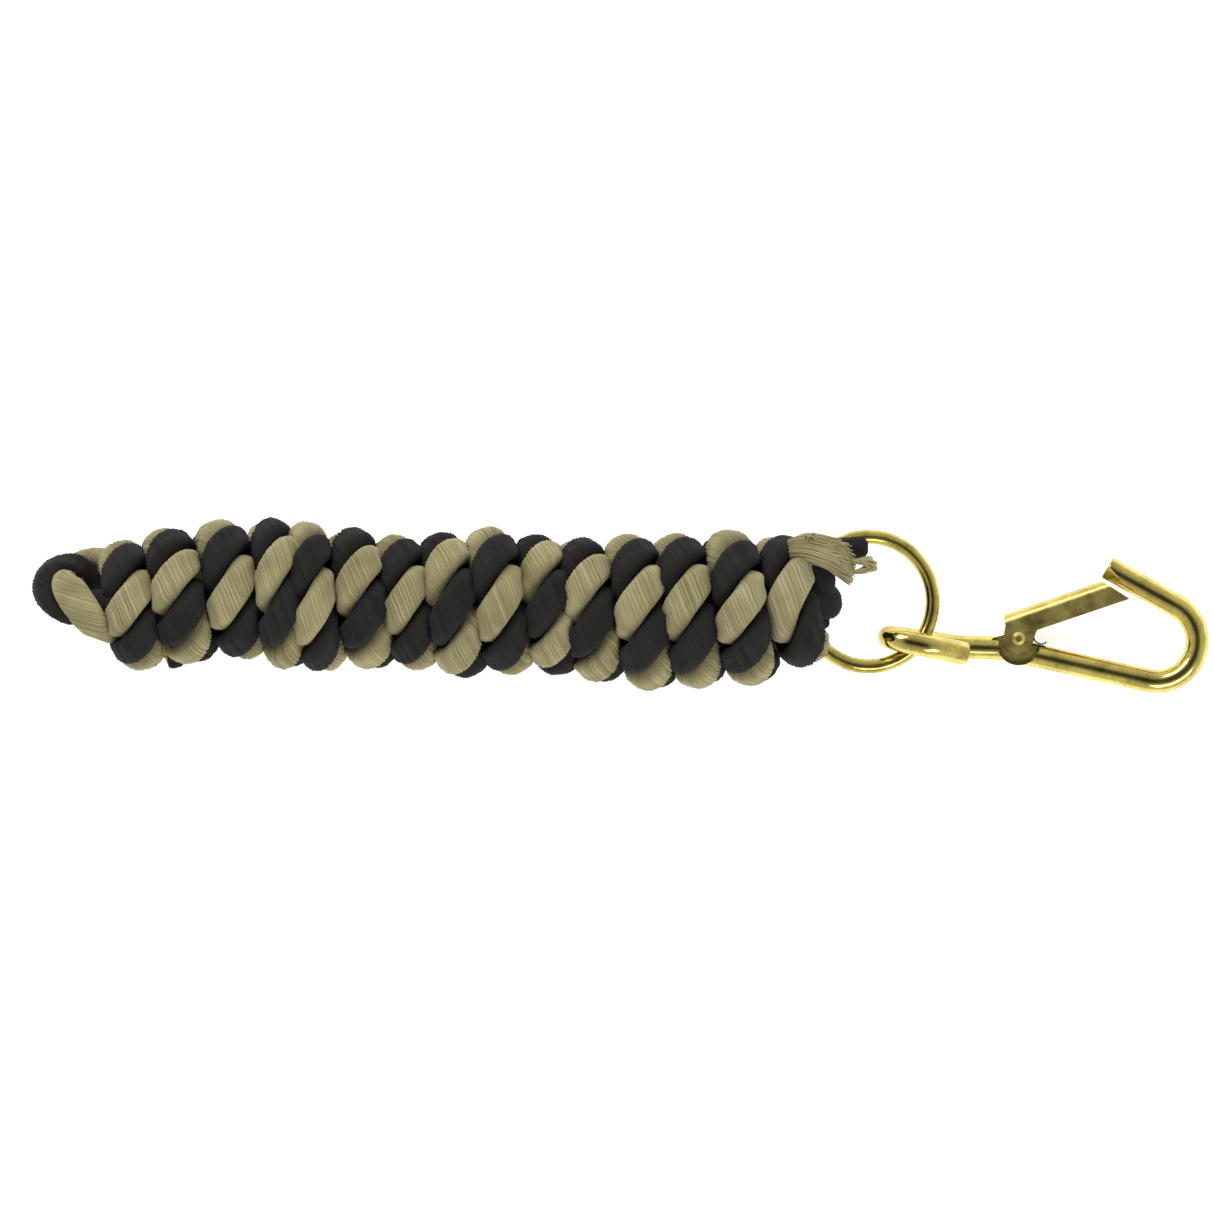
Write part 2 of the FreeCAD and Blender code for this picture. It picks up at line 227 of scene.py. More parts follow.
class Rope:
    """The rope's line with, at each place along it, the frame, the thickness and the strands' turn."""

    def __init__(self):
        turns, angles = winding_points()
        route = CORE_TO_BIGHT + BIGHT + BIGHT_TO_TURNS + turns + TAIL
        # The rope's thickness at each point, with a point or two between stretches that eases it.
        thickness = ([SQUEEZED] * len(CORE_TO_BIGHT) + [0.8] + [1.0] * (len(BIGHT) - 2) + [0.85]
                     + [SQUEEZED] * (len(BIGHT_TO_TURNS) - 2) + [0.75, 0.85]
                     + [1.0] * len(turns) + [0.95, 0.85] + [TAIL_THICKNESS] * (len(TAIL) - 2))
        turn_start = len(CORE_TO_BIGHT) + len(BIGHT) + len(BIGHT_TO_TURNS)
        line, place = nurbs_line("rope_route", route)
        along = np.concatenate([[0], np.cumsum(np.linalg.norm(np.diff(line, axis=0), axis=1))])
        self.length = along[-1]
        count = int(self.length / RING_SPACING) + 1
        self.s = np.linspace(0, self.length, count)
        self.centre = np.stack([np.interp(self.s, along, line[:, k]) for k in range(3)], axis=1)
        place = np.interp(self.s, along, place)
        self.thickness = np.interp(place, np.arange(len(route)), thickness)
        in_turns = np.arange(turn_start, turn_start + len(turns))
        self.angle = np.interp(place, in_turns, angles)
        self.wound = (place >= turn_start) & (place <= turn_start + len(turns) - 1)
        self.bight = ((place > len(CORE_TO_BIGHT) - 1.0)
                      & (place < len(CORE_TO_BIGHT) + len(BIGHT) + 0.5))
        self.place_frame()
        self.lay_strands()
        self.fit_turns()

    def place_frame(self):
        """Normals face out of the hank in the turns, and are carried along without twist elsewhere."""
        self.tangent, carried = carried_frame(self.centre, DOWN)
        side = np.cross(self.tangent, carried)
        a = np.radians(self.angle)
        outward = np.stack([np.zeros_like(a), -np.cos(a), np.sin(a)], axis=1)
        turn = np.unwrap(np.arctan2((outward * side).sum(1), (outward * carried).sum(1)))
        first, last = np.flatnonzero(self.wound)[[0, -1]]
        turn[:first] = turn[first]
        turn[last:] = turn[last]
        c, s = np.cos(turn)[:, None], np.sin(turn)[:, None]
        self.normal = carried * c + side * s
        self.side = np.cross(self.tangent, self.normal)

    def s_near(self, point, inside):
        """Place along the rope nearest to a point, among the places where inside is true."""
        away = np.linalg.norm(self.centre - np.array(point), axis=1)
        return self.s[np.argmin(np.where(inside, away, np.inf))]

    def lay_strands(self):
        """twist: the angle from the normal to the cream strand's middle, growing along the rope."""
        knots, values, lays = [], [], 0
        wound = np.flatnonzero(self.wound)
        for k, (_, offset, radius, height, count) in enumerate(TURNS):
            front = math.degrees(math.acos(-(height - offset) / radius))
            angle = front + 360.0 * k
            knots.append(np.interp(angle, self.angle[wound], self.s[wound]))
            values.append(FULL_TURN * lays)
            lays += count
        first_turn = self.s[wound[0]]
        navy_out = np.interp(NAVY_OUT_ANGLE, self.angle[wound], self.s[wound])
        lays_before = (navy_out - first_turn) / FREE_LAY
        knots = [first_turn, navy_out] + knots
        values = [-0.5 * FULL_TURN - lays_before * FULL_TURN, -0.5 * FULL_TURN] + values
        facing_up = self.s_near(BIGHT_TOP, self.bight)
        lays_between = (knots[0] - facing_up) / FREE_LAY
        up = self.turn_facing(facing_up, UP, values[0] - lays_between * FULL_TURN)
        fold = [facing_up + along for along, _ in FOLD_LAYS]
        start = up + CORE_LAYS * FULL_TURN - fold[0] / FREE_LAY * FULL_TURN
        knots = [0.0] + fold + knots
        values = [start] + [up + lays_on * FULL_TURN for _, lays_on in FOLD_LAYS] + values
        knots.append(self.length)
        values.append(values[-1] + (self.length - knots[-2]) / FREE_LAY * FULL_TURN)
        self.twist = smooth_through(knots, values, self.s)

    def turn_facing(self, s, direction, near):
        """The twist at s that turns the cream strand to face a direction, the one closest to near."""
        i = int(np.searchsorted(self.s, s))
        d = np.array(direction, float)
        angle = math.atan2(d @ self.side[i], d @ self.normal[i])
        return angle + FULL_TURN * round((near - angle) / FULL_TURN)

    def fit_turns(self):
        """Across the hank each turn is as wide as the room between its neighbours."""
        x = np.array([t[0] for t in TURNS])
        gaps = np.concatenate([END_ROOMS[:1], -np.diff(x), END_ROOMS[1:]])
        width = (gaps[:-1] + gaps[1:]) / 2 * MM / ROPE_D
        width = np.clip(width * TURN_OVERLAP, *TURN_WIDTHS)
        width = np.where(self.wound, smooth_through(TURN_FRONTS, width, self.angle), 1.0)
        blur = np.ones(WIDTH_BLUR) / WIDTH_BLUR
        self.width = np.convolve(np.pad(width, WIDTH_BLUR // 2, mode="edge"), blur, "valid")

    def at(self, s):
        """Centre, normal and side at any places along the rope."""
        def pick(v):
            return np.stack([np.interp(s, self.s, v[:, k]) for k in range(3)], axis=-1)
        return pick(self.centre), normalised(pick(self.normal)), normalised(pick(self.side))


# ---- Small tools for meshes -----------------------------------------------------------------------
FLOOR_GAP = 0.0012         # what comes nearer to the floor than about this is pressed flat over it
ANY_WAY = (0.31, 0.57, 0.76)       # a direction that no tube runs in, to start its first ring from
TUBE_LENGTH = 0.03         # length that a thin tube's material takes it to have


def above_floor(points):
    """Points with what would lie under the floor pressed flat just over it."""
    z = points[..., 2]
    points[..., 2] = (z + np.sqrt(z * z + FLOOR_GAP ** 2)) / 2
    return points


def mesh_object(name, vertices, faces, smooth=True):
    mesh = bpy.data.meshes.new(name)
    mesh.from_pydata(vertices.tolist(), [], faces)
    mesh.polygons.foreach_set("use_smooth", [smooth] * len(mesh.polygons))
    mesh.update()
    made = bpy.data.objects.new(name, mesh)
    bpy.context.scene.collection.objects.link(made)
    return made


def add_values(made, name, values):
    """A named value or vector at each of the mesh's points, for its material."""
    kind = "FLOAT" if values.ndim == 1 else "FLOAT_VECTOR"
    attribute = made.data.attributes.new(name, kind, "POINT")
    attribute.data.foreach_set("value" if values.ndim == 1 else "vector", values.astype(np.float32).ravel())


def tube_faces(rows, around):
    """Quads between rows of points, closed round each row."""
    i, j = np.meshgrid(np.arange(rows - 1), np.arange(around), indexing="ij")
    a = i * around + j
    b = i * around + (j + 1) % around
    quads = np.stack([a, b, b + around, a + around], axis=-1).reshape(-1, 4)
    return quads.tolist()


def closed_tube_faces(rows, around):
    """A tube's quads, and a fan at each end to the two points that come after the last row."""
    total = rows * around
    last = total - around
    ring = np.arange(around)
    after = (ring + 1) % around
    start = np.stack([after, ring, np.full(around, total)], axis=1)
    end = np.stack([last + ring, last + after, np.full(around, total + 1)], axis=1)
    return tube_faces(rows, around) + start.tolist() + end.tolist()


def thin_tubes(name, paths, radii, sides):
    """Many closed thin tubes in one mesh. paths is (tubes, points, 3) and radii (tubes, points)."""
    count, points = paths.shape[:2]
    tangent = normalised(np.gradient(paths, axis=1))
    normal = np.cross(tangent[:, 0], ANY_WAY)
    rings = []
    for k in range(points):
        normal = normalised(normal - tangent[:, k] * (normal * tangent[:, k]).sum(1, keepdims=True))
        side = np.cross(tangent[:, k], normal)
        turn = FULL_TURN * np.arange(sides) / sides
        ring = normal[:, None] * np.cos(turn)[None, :, None] + side[:, None] * np.sin(turn)[None, :, None]
        rings.append(paths[:, k][:, None] + ring * radii[:, k][:, None, None])
    vertices = np.stack(rings, axis=1).reshape(-1, 3)
    one = np.array(tube_faces(points, sides))
    each = points * sides
    quads = (one[None] + (np.arange(count) * each)[:, None, None]).reshape(-1, 4)
    start = np.arange(sides)[::-1][None] + (np.arange(count) * each)[:, None]
    end = np.arange(sides)[None] + (np.arange(count) * each + each - sides)[:, None]
    faces = quads.tolist() + start.tolist() + end.tolist()
    made = mesh_object(name, vertices, faces)
    along = np.tile(np.repeat(np.linspace(0, 1, points), sides), count)
    number = np.repeat(np.arange(count), each)
    add_values(made, "yarn", np.stack([number + 0.5, along * TUBE_LENGTH, np.zeros(len(along))], axis=1))
    return made


# ---- Strands ----------------------------------------------------------------------------------------
SEAM_GAP = 0.0001          # from the rope's line to the flat that faces the other strand
STRAND_OUT = 0.0037        # from the rope's line to the middle of a strand
STRAND_U = 0.0044          # half the strand's thickness
STRAND_V = 0.0067          # half its width
ROUNDNESS = 2.1            # 2 is an ellipse, more is squarer
OUTLINE_POINTS = 15        # round the part of a strand that doesn't meet the other one
RELIEF_FADE = 0.5          # radians over which the yarns' relief fades out towards the other strand
YARNS_ROUND = 56           # yarns of a strand side by side in one full turn round the rope
YARN_WIDTHS = (0.5, 1.5)   # narrowest and widest yarn, as a share of the even one
CREST_PLACES = (0.4, 0.6)  # where across a yarn its crest may be
YARN_CREST = 0.00008       # how far a crest stands out of the strand's even surface
CREST_SPREAD = 0.00007     # how much the crests differ in that
YARN_GROOVE = 0.00036      # depth of the groove between two yarns
GROOVE_DEPTHS = (0.4, 1.5)         # the shallowest groove's share of it, and what the deepest has more
YARN_SLANT = 0.20          # how far a yarn leans off the rope's own direction across its strand
YARN_WANDER = 0.012        # how far it strays from that, radians of lay
WANDER_LENGTH = 0.004      # length that one radian of lay counts as in the wander
LUMPS = 0.022              # how much the strand's thickness varies, as a share of it
HIDDEN_ROWS = 24           # rows of points in one lay where the rope is out of sight
DETAIL_REACH = 30          # places along the rope by which the detail goes on under what hides it


def strand_outline():
    """Outline of one strand's section, pressed flat where it meets the other one: (u, v) with u
    towards its middle, the angle round the rope's line, and the share of the yarns' relief there."""
    meets = math.acos(-((STRAND_OUT - SEAM_GAP) / STRAND_U) ** (ROUNDNESS / 2))
    angle = np.linspace(-meets, meets, OUTLINE_POINTS)
    cos, sin = np.cos(angle), np.sin(angle)
    u = STRAND_OUT + STRAND_U * np.sign(cos) * np.abs(cos) ** (2 / ROUNDNESS)
    v = STRAND_V * np.sign(sin) * np.abs(sin) ** (2 / ROUNDNESS)
    outline = np.concatenate([np.stack([u, v], axis=1), [(SEAM_GAP, 0.0)]])
    relief = np.clip((meets - np.abs(angle)) / RELIEF_FADE, 0, 1)
    turned = np.arctan2(v, u)
    return outline, np.append(turned, 0.0), np.append(relief, 0.0)


def waves(seed, count, across, lengths):
    """A smooth repeatable wobble between about -1 and 1 over an angle and a length, made of as many
    sine waves as count says, with up to across of them round a circle and the given range of lengths."""
    rng = np.random.default_rng(seed)
    parts = [(rng.uniform(0.6, 1.0), int(rng.integers(0, across + 1)), FULL_TURN / rng.uniform(*lengths),
              rng.uniform(0, FULL_TURN)) for _ in range(count)]
    total = sum(p[0] for p in parts) * 0.6

    def wobble(angle, length):
        return sum(a * np.sin(m * angle + k * length + p) for a, m, k, p in parts) / total
    return wobble


def strand_rows(rope, phase, seed, reach):
    """Angles of the rows of points that follow the yarns, and each row's yarn number and height."""
    rng = np.random.default_rng(seed)
    twist = rope.twist + phase
    low, high = twist[0] + reach, twist[-1] - reach
    rows, numbers, heights = [], [], []
    theta, yarn = low, 0
    seen = (rope.bight | rope.wound | (rope.s > rope.s[np.flatnonzero(rope.wound)[-1]])).astype(float)
    near = np.convolve(seen, np.ones(2 * DETAIL_REACH + 1), "same") > 0
    while theta < high:
        if np.interp(theta, twist, near.astype(float)) > 0.5:
            width = FULL_TURN / YARNS_ROUND * rng.uniform(*YARN_WIDTHS)
            depth = YARN_GROOVE * (GROOVE_DEPTHS[0] + GROOVE_DEPTHS[1] * rng.uniform() ** 2)
            proud = rng.normal(0, CREST_SPREAD)
            rows += [theta, theta + width * rng.uniform(*CREST_PLACES)]
            heights += [-depth, YARN_CREST + proud]
        else:
            width = FULL_TURN / HIDDEN_ROWS * 2
            rows += [theta, theta + width / 2]
            heights += [0.0, 0.0]
        numbers += [yarn, yarn + 0.5]
        theta += width
        yarn += 1
    return np.array(rows), np.array(numbers), np.array(heights)


def make_strand(name, rope, phase, seed):
    """One strand: a soft half-round bundle that winds round the rope's line, its yarns lying side by
    side along the rope. Each row of points is a yarn's crest or the groove beside it."""
    outline, turned, outside = strand_outline()
    rows, numbers, heights = strand_rows(rope, phase, seed, turned.max())
    twist = rope.twist + phase
    wander = waves(seed + 1, count=7, across=2, lengths=(0.03, 0.12))
    lump = waves(seed + 2, count=8, across=3, lengths=(0.012, 0.05))
    theta = rows[:, None] + YARN_SLANT * turned[None]
    theta = theta + YARN_WANDER * wander(turned[None], rows[:, None] * WANDER_LENGTH) * outside[None]
    s = np.interp(theta - turned[None], twist, rope.s)
    angle = np.interp(s, rope.s, twist)
    size = np.interp(s, rope.s, rope.thickness)
    width = np.interp(s, rope.s, rope.width)
    centre, normal, side = rope.at(s)
    u, v = outline[None, :, 0], outline[None, :, 1]
    swell = 1 + LUMPS * lump(turned[None], s) * outside[None]
    lift = heights[:, None] * outside[None] / ROPE_R
    u = u * (swell + lift)
    v = v * (swell + lift)
    out = (u * np.cos(angle) - v * np.sin(angle)) * size
    across = (u * np.sin(angle) + v * np.cos(angle)) * size * width
    points = centre + normal * out[..., None] + side * across[..., None]
    around = len(outline)
    vertices = above_floor(points.reshape(-1, 3))
    ends = np.stack([points[0].mean(0), points[-1].mean(0)])
    made = mesh_object(name, np.concatenate([vertices, ends]), closed_tube_faces(len(rows), around))
    number = np.repeat(numbers, around)
    yarn = np.stack([number, s.ravel(), np.full(len(number), seed)], axis=1)
    add_values(made, "yarn", np.concatenate([yarn, np.zeros((2, 3))]))
    # seam: 0 in the strand's middle, 1 where it meets the other strand. The material paints shade near 1, and
    # the fuzz keeps away from it.
    seam = np.tile(np.abs(turned) / turned.max(), len(rows))
    add_values(made, "seam", np.concatenate([seam, [1.0, 1.0]]))
    return made


make_camera()
rope = Rope()
cream_strand = make_strand("cream_strand", rope, phase=0.0, seed=11)
navy_strand = make_strand("navy_strand", rope, phase=math.pi, seed=23)


# ---- Bundles of yarn: the rope's eye and its cut strands' ends --------------------------------------
BUNDLE_STEP = 0.0008       # between rows of points along a bundle
BUNDLE_GROOVE = 0.00026    # depth of the groove between two of its yarns
BUNDLE_GROOVES = (0.6, 1.5)        # the shallowest and the deepest groove's share of that
BUNDLE_CREST = 0.00008     # how far its crests stand out, and how much they differ in that
BUNDLE_LUMPS = 0.03        # how much its thickness varies, as a share of it
BUNDLE_TIP = 0.12          # share of its end's rounding that is cut flat
BUNDLE_LAY = 0.11          # length in which a bundle's yarns turn once about it

# The rope's end, a bundle that goes round the ring.
EYE_Y = 0.0026
EYE = [(0.0480, EYE_Y, 0.0090), (0.0598, EYE_Y, 0.00744), (0.0668, EYE_Y, 0.00744),
       (0.0724, EYE_Y, 0.01304), (0.0724, EYE_Y, 0.02096), (0.0668, EYE_Y, 0.02656),
       (0.0598, EYE_Y, 0.02656), (0.0480, EYE_Y, 0.0250)]
EYE_SIZES = [(5.4, 4.6)] + [(6.2, 4.6)] * 6 + [(5.4, 4.4)]     # half width and half thickness, millimetres
# The navy strand's cut end, which stands out of the last turns, and the loose yarns above it.
LEFT_END = [(-0.1600, -0.0150, 0.0200), (-0.1570, -0.0215, 0.0205), (-0.1546, -0.0288, 0.0205)]
LEFT_END_SIZES = [(2.8, 2.6), (3.2, 2.9), (2.8, 2.6)]
LEFT_TUFT_ROOT = (-0.1590, -0.0205, 0.0345)
LEFT_TUFT_WAY = (0.35, -1.0, 0.3)
# The strand that leaves the eye and goes up beside the first turn.
EYE_LEG = [(0.0560, 0.0215, 0.0250), (0.0620, 0.0195, 0.0290), (0.0682, 0.0142, 0.0288),
           (0.0704, 0.0086, 0.0262), (0.0695, 0.0030, 0.0220)]
EYE_LEG_SIZES = [(4.0, 3.4), (4.6, 3.8), (4.8, 3.8), (4.6, 3.8), (3.6, 3.2)]
# The two cut ends beside the ring: the navy strand, and the cream one, a brush of loose yarns.
NAVY_TAIL = [(0.0560, 0.0160, 0.0250), (0.0690, 0.0200, 0.0275), (0.0770, 0.0216, 0.0275),
             (0.0852, 0.0219, 0.0270)]
NAVY_TAIL_SIZES = [(3.2, 3.2), (3.8, 3.6), (3.9, 3.7), (3.7, 3.5)]
CREAM_TAIL = [(0.0555, 0.0150, 0.0230), (0.0580, 0.0190, 0.0320), (0.0630, 0.0215, 0.0375),
              (0.0705, 0.0200, 0.0385), (0.0765, 0.0180, 0.0365), (0.0824, 0.0155, 0.0350)]
CREAM_TAIL_RADII = [3.6, 4.2, 4.9, 5.4, 6.4, 7.6]              # of the whole brush, millimetres
CREAM_LOOPS = ((0.0790, 0.0150, 0.0352), (0.0884, 0.0153, 0.0352))     # from where to where they stand out
STRAY_LOOPS = ((0.0655, 0.0220, 0.0420), (0.0640, 0.0262, 0.0425))
BRUSH_STEP = 0.0015        # between points of a yarn in the brush
BRUSH_YARN_R = 0.00027
BRUSH_UNEVEN = 0.08        # how much shorter than the longest a yarn may be
BRUSH_SLANT = 0.26         # how much shorter the yarns on the brush's +Y side are
BRUSH_SWAY = 0.03          # how far a yarn strays, as a share of the brush's radius
GOLDEN_ANGLE = math.pi * (3 - math.sqrt(5))        # between yarns that are spread evenly over a disc
LOOP_YARN_R = 0.00032
TUFT_YARN_R = 0.00010
HAIRY_RADIUS = 0.0185      # hairs show on what lies further than this from the hank's axis
HAIRY_FACING = 0.8         # and faces away from it at least this much
HAIRY_SEAM = 0.4           # and is this near to the middle of its strand's outer side
HAIR_ROOT = 0.0001         # how deep a hair starts
HAIR_R = 0.000032
HAIR_LENGTH = (0.0006, 0.0019)
HAIRS = 5200               # on each strand


def spaced_line(name, route, step):
    """A route's curve as evenly spaced points, and each one's place in the route's list."""
    line, place = nurbs_line(name, route)
    along = np.concatenate([[0], np.cumsum(np.linalg.norm(np.diff(line, axis=0), axis=1))])
    s = np.linspace(0, along[-1], max(int(along[-1] / step), 4) + 1)
    even = np.stack([np.interp(s, along, line[:, k]) for k in range(3)], axis=1)
    return even, s, np.interp(s, along, place)


def yarn_bundle(name, route, sizes, yarns, seed, first_normal, end_round=0.5):
    """A soft bundle of yarns side by side along a route, wider than it is thick. end_round: length of
    its ends' rounding, as a share of its half thickness."""
    rng = np.random.default_rng(seed)
    centre, s, place = spaced_line(name + "_route", route, BUNDLE_STEP)
    tangent, normal = carried_frame(centre, first_normal)
    side = np.cross(tangent, normal)
    half = np.stack([np.interp(place, range(len(route)), [h[k] for h in sizes]) for k in (0, 1)]) * MM
    to_end = np.minimum(s, s[-1] - s) / (half[1] * end_round)
    half = half * np.sqrt(1 - (1 - np.clip(to_end, BUNDLE_TIP, 1)) ** 2)
    count = 2 * yarns
    turn = FULL_TURN * (np.arange(count) + rng.uniform(-0.25, 0.25, count)) / count
    crest = np.arange(count) % 2
    rise = rng.normal(BUNDLE_CREST, BUNDLE_CREST, count)
    depth = np.where(crest, rise, -BUNDLE_GROOVE * rng.uniform(*BUNDLE_GROOVES, count))
    lump = waves(seed + 1, count=6, across=3, lengths=(0.008, 0.03))
    angle = turn[None] + FULL_TURN * s[:, None] / BUNDLE_LAY
    swell = 1 + BUNDLE_LUMPS * lump(turn[None], s[:, None])
    across = (half[0][:, None] * swell + depth) * np.sin(angle)
    out = (half[1][:, None] * swell + depth) * np.cos(angle)
    points = centre[:, None] + normal[:, None] * out[..., None] + side[:, None] * across[..., None]
    vertices = above_floor(points.reshape(-1, 3))
    made = mesh_object(name, np.concatenate([vertices, centre[[0, -1]]]), closed_tube_faces(len(s), count))
    number = np.tile(np.arange(count) / 2, len(s))
    yarn = np.stack([number, np.repeat(s, count), np.full(len(number), seed)], axis=1)
    add_values(made, "yarn", np.concatenate([yarn, np.zeros((2, 3))]))
    return made


def yarn_brush(name, route, radii, yarns, seed):
    """Loose yarns along a route, a thin tube each: radii are the brush's at the route's points."""
    rng = np.random.default_rng(seed)
    centre, s, place = spaced_line(name + "_route", route, BRUSH_STEP)
    tangent, normal = carried_frame(centre, UP)
    side = np.cross(tangent, normal)
    radius = np.interp(place, range(len(route)), radii) * MM
    number = np.arange(yarns) + 0.5
    turn = number * GOLDEN_ANGLE
    out = np.sqrt(number / yarns)
    steps = np.linspace(0, 1, len(s))
    far_side = np.clip(0.3 - np.sin(turn + 0.5) * out, 0, 1.3)
    cut = rng.uniform(1 - BRUSH_UNEVEN, 1, yarns) - BRUSH_SLANT * far_side
    share = steps[None] * cut[:, None]
    at = share * (len(s) - 1)

    def pick(values):
        if values.ndim == 1:
            return np.interp(at, np.arange(len(s)), values)
        return np.stack([np.interp(at, np.arange(len(s)), values[:, k]) for k in range(3)], axis=-1)
    waviness, first = rng.uniform(4, 9, yarns)[:, None], rng.uniform(0, 6, yarns)[:, None]
    sway = BRUSH_SWAY * np.sin(steps[None] * waviness + first)
    bearing = turn[:, None] + sway * 2 + 0.5 * share
    reach = (out[:, None] + sway) * pick(radius)
    paths = (pick(centre) + pick(normal) * (reach * np.cos(bearing))[..., None]
             + pick(side) * (reach * np.sin(bearing))[..., None])
    width = BRUSH_YARN_R * rng.uniform(0.8, 1.15, yarns)[:, None] * np.ones(len(s))[None]
    width[:, -1] *= 0.75
    return thin_tubes(name, above_floor(paths), width, sides=6)


def yarn_loops(name, base, tip, width, count, seed):
    """Yarns pulled out of a bundle in narrow loops, from base to tip and back."""
    rng = np.random.default_rng(seed)
    base, tip = np.array(base), np.array(tip)
    along = tip - base
    across = np.cross(along, UP)
    across /= np.linalg.norm(across)
    t = np.linspace(0, math.pi, 15)
    paths = []
    for _ in range(count):
        reach = rng.uniform(0.72, 1.0)
        lean = rng.normal(0, 0.35)
        half = width * rng.uniform(0.35, 0.6)
        rise = rng.normal(0, 0.0009)
        paths.append(base + along * (np.sin(t) ** 0.8 * reach)[:, None]
                     + across * (np.cos(t) * half + np.sin(t) * lean * width)[:, None]
                     + np.array(UP) * (np.sin(t) * rise)[:, None])
    return thin_tubes(name, np.array(paths), np.full((count, len(t)), LOOP_YARN_R), sides=5)


def yarn_tuft(name, root, direction, length, spread, count, seed):
    """Cut yarns that fan out of a strand."""
    rng = np.random.default_rng(seed)
    direction = np.array(direction) / np.linalg.norm(direction)
    t = np.linspace(0, 1, 7)
    offset = rng.normal(0, 1, (count, 3))
    reach = length * rng.uniform(0.45, 1.0, count)
    start = np.array(root) + offset * spread * 0.35
    bend = rng.normal(0, 0.35, (count, 3))
    paths = (start[:, None] + direction * (reach[:, None] * t)[..., None]
             + (offset * spread * 0.5)[:, None] * t[None, :, None]
             + bend[:, None] * length * (t ** 2)[None, :, None] * 0.6)
    paths[..., 2] = np.maximum(paths[..., 2], FLOOR_GAP)
    return thin_tubes(name, paths, TUFT_YARN_R * (1 - 0.4 * t)[None] * np.ones((count, 1)), sides=4)


def make_fuzz(name, source, count, seed):
    """Loose fibres that stand off the outer side of a strand, each a closed three-sided hair."""
    rng = np.random.default_rng(seed)
    mesh = source.data
    place = np.empty(len(mesh.vertices) * 3)
    mesh.vertices.foreach_get("co", place)
    facing = np.empty(len(mesh.vertices) * 3)
    mesh.vertex_normals.foreach_get("vector", facing)
    place, facing = place.reshape(-1, 3), facing.reshape(-1, 3)
    radial = place[:, 1:] - (HANK_Y, HANK_Z)
    far = np.linalg.norm(radial, axis=1)
    outward = (facing[:, 1:] * radial).sum(1) / far
    on_fold = place[:, 0] < TURNS[-1][0] * MM - ROPE_R
    seam = np.empty(len(mesh.vertices))
    mesh.attributes["seam"].data.foreach_get("value", seam)
    shows = (far > HAIRY_RADIUS) & (outward > HAIRY_FACING) | on_fold
    shows &= (place[:, 0] < TURNS[0][0] * MM) & (seam < HAIRY_SEAM)
    chosen = rng.choice(np.flatnonzero(shows & (place[:, 2] > 2 * FLOOR_GAP)), count)
    root, out = place[chosen], facing[chosen]
    along = normalised(np.cross(out, rng.normal(size=(count, 3))))
    across = np.cross(out, along)
    t = np.linspace(0, 1, 5)
    length = rng.uniform(*HAIR_LENGTH, count)[:, None]
    lift = rng.uniform(0.1, 0.75, count)[:, None] * length
    curl = rng.normal(0, 0.5, count)[:, None] * length
    paths = (root[:, None] + out[:, None] * (lift * t - HAIR_ROOT)[..., None]
             + along[:, None] * (length * t * (1 - 0.3 * t))[..., None]
             + across[:, None] * (curl * t ** 2)[..., None])
    paths[..., 2] = np.maximum(paths[..., 2], HAIR_R)
    return thin_tubes(name, paths, HAIR_R * (1.1 - 0.6 * t)[None] * np.ones((count, 1)), sides=3)


eye_strand = yarn_bundle("eye_strand", EYE, EYE_SIZES, yarns=30, seed=31, first_normal=DOWN)
eye_leg = yarn_bundle("eye_leg", EYE_LEG, EYE_LEG_SIZES, yarns=24, seed=37, first_normal=UP)
navy_tail = yarn_bundle("navy_tail_strand", NAVY_TAIL, NAVY_TAIL_SIZES, yarns=22, seed=41,
                        first_normal=UP, end_round=0.6)
cream_tail = yarn_brush("cream_tail_yarns", CREAM_TAIL, CREAM_TAIL_RADII, yarns=640, seed=47)
cream_loops = yarn_loops("cream_tail_loops", *CREAM_LOOPS, width=0.0040, count=14, seed=53)
stray_loops = yarn_loops("stray_loops", *STRAY_LOOPS, width=0.0030, count=7, seed=59)
left_end = yarn_bundle("left_end_strand", LEFT_END, LEFT_END_SIZES, yarns=16, seed=61,
                       first_normal=UP, end_round=0.3)
left_tuft = yarn_tuft("left_end_tuft", LEFT_TUFT_ROOT, LEFT_TUFT_WAY, length=0.0042, spread=0.0022,
                      count=40, seed=67)
navy_fuzz = make_fuzz("navy_fuzz", navy_strand, HAIRS, seed=71)
cream_fuzz = make_fuzz("cream_fuzz", cream_strand, HAIRS, seed=73)


# ---- Leaf spring under the gate -----------------------------------------------------------------------
LEAF_HALF_T = 0.00025
LEAF_HALF_W = 0.0016
LEAF_BEVEL = 0.35          # share of its half thickness that its edges leave flat
LEAF_STEP = 0.0004         # between rows of points along it
RIVET_AT = joint_at["gate_pivot"]
HOOK_TURN = math.radians(2.09)
# Along and across the snap's shank from the rivet, in millimetres.
LEAF_ROUTE = [(9.9, -1.1), (9.3, -1.8), (8.4, -2.0), (6.6, -1.6), (5.5, -0.4), (5.3, 1.6), (6.3, 5.8),
              (7.6, 10.9), (8.4, 11.5), (9.5, 11.85)]


def on_hook(u, v):
    """A point of the snap, given along and across its shank from the rivet, in millimetres."""
    c, s = math.cos(HOOK_TURN), math.sin(HOOK_TURN)
    return (RIVET_AT[0] + (u * c - v * s) * MM, RIVET_AT[1] + (u * s + v * c) * MM, RIVET_AT[2])


